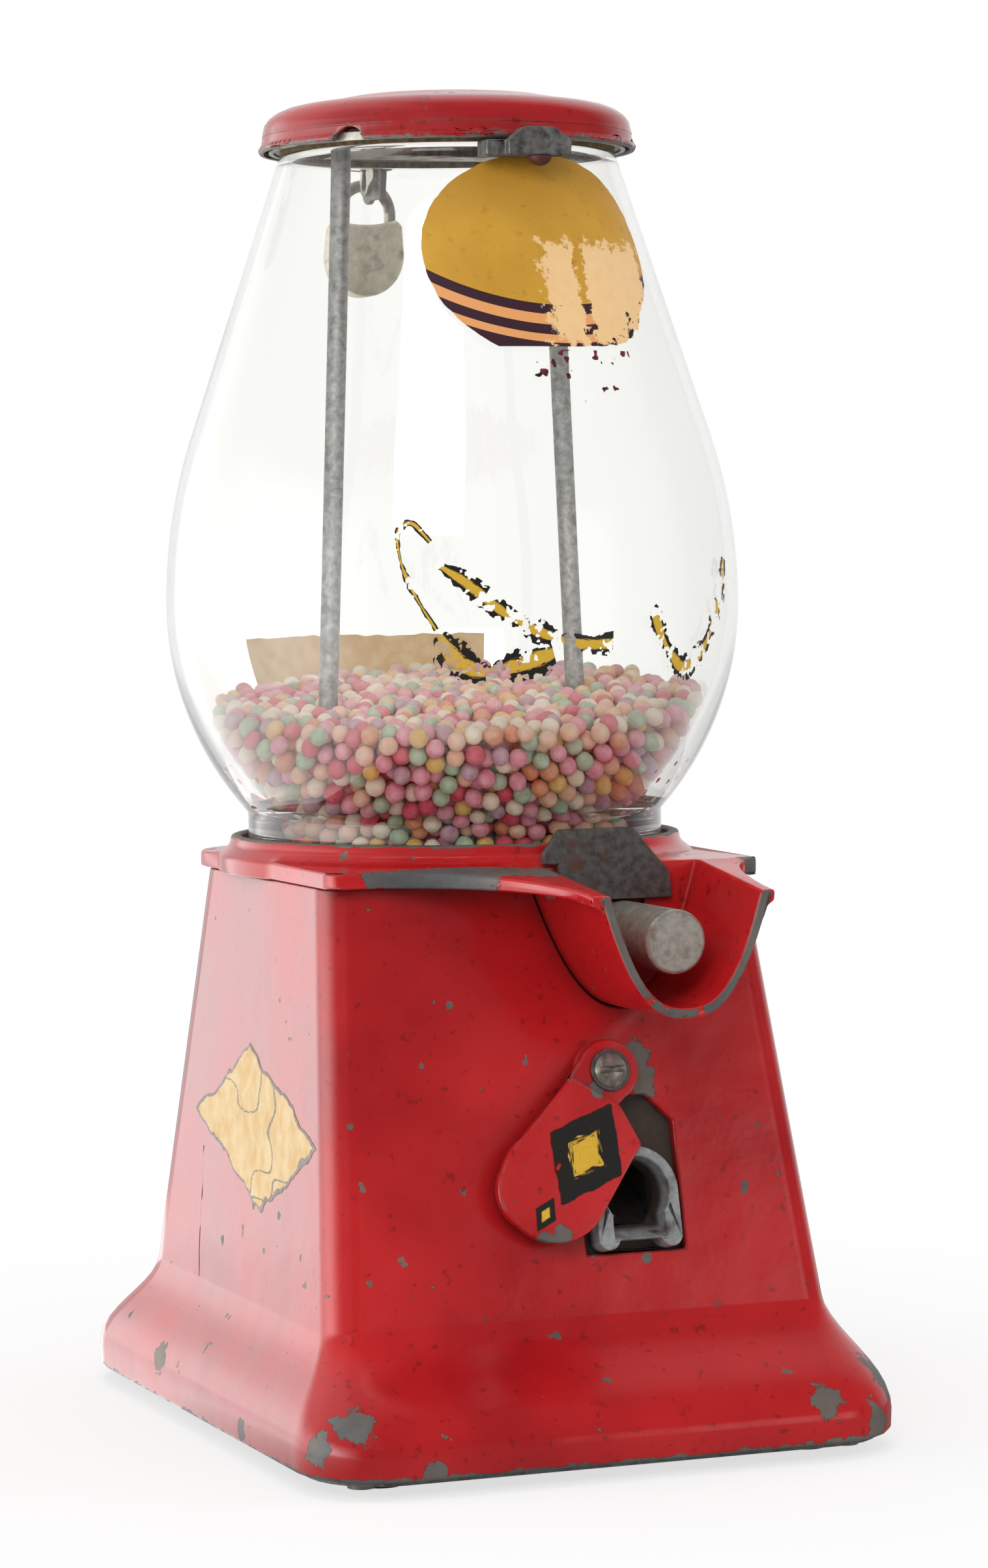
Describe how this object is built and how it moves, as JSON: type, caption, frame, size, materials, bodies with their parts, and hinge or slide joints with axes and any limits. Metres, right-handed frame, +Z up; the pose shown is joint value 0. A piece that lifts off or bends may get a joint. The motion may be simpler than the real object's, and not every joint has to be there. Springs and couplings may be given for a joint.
{
  "type": "breath mint vending machine",
  "caption": "Counter-top vendor: glass globe of mint pellets on a tapered cast base, coin plunger in a finger scoop, swinging delivery flap and padlocked lid.",
  "frame": {"origin": "middle of the machine's box in plan, on the surface that it stands on", "axes": "+X to the right seen from the front, +Y from the front to the back, +Z up"},
  "size_m": [0.1866, 0.246, 0.4073],
  "materials": {
    "enamel": "glossy red enamel, chipped to bare iron at the edges",
    "lid_metal": "dull, tarnished sheet metal",
    "steel": "worn, lightly tarnished",
    "iron": "bare, rough, dirty in the corners",
    "brass": "dull",
    "rubber": "matte",
    "glass": "clear, smooth",
    "mints": "chalky pastel sugar coating"
  },
  "bodies": {
    "base": {"base_casting": "enamel", "base_plate": "steel", "base_screws": "steel", "rubber_feet": "rubber", "cash_box": "steel", "top_casting": "enamel", "hopper_plate": "steel", "globe_gasket": "rubber", "globe": "glass", "mint_pellets": "mints", "lid_gasket": "rubber", "cap_ring": "lid_metal", "crossbar": "steel", "tie_rod_left": "steel", "tie_rod_right": "steel", "rod_nuts": "steel", "lid_catch": "iron", "catch_rivet": "iron", "plunger_spring": "steel", "slide_bed": "iron", "mechanism_screws": "steel", "coin_plate": "iron", "delivery_chute": "steel", "spout": "iron", "flap_washer": "steel", "flap_screw": "steel"},
    "plunger": {"plunger": "steel", "dispensing_slide": "brass"},
    "flap": {"flap": "enamel"},
    "lid": {"lid": "enamel"},
    "padlock_shackle": {"padlock_shackle": "steel"},
    "padlock_body": {"padlock_body": "iron"}
  },
  "joints": [
    {"name": "plunger_push", "type": "slide", "parent": "base", "child": "plunger", "axis": [0, 1, 0], "range_m": [0, 0.022], "stiffness_N_per_m": 250, "deforming": ["plunger_spring"]},
    {"name": "flap_swing", "type": "hinge", "parent": "base", "child": "flap", "pos_m": [0.013, -0.07473, 0.112], "axis": [0, 0.9726, -0.2325], "range_deg": [-108, 42]},
    {"name": "lid_lift", "type": "slide", "parent": "base", "child": "lid", "axis": [0, 0, 1], "range_m": [0, 0.07]},
    {"name": "padlock_swing", "type": "hinge", "parent": "lid", "child": "padlock_shackle", "pos_m": [-0.0026, 0.08347, 0.3854], "axis": [1, 0, 0], "range_deg": [0, 50]},
    {"name": "padlock_drop", "type": "slide", "parent": "padlock_shackle", "child": "padlock_body", "axis": [0, 0, -1], "range_m": [0, 0.006], "stiffness_N_per_m": 3000}
  ]
}
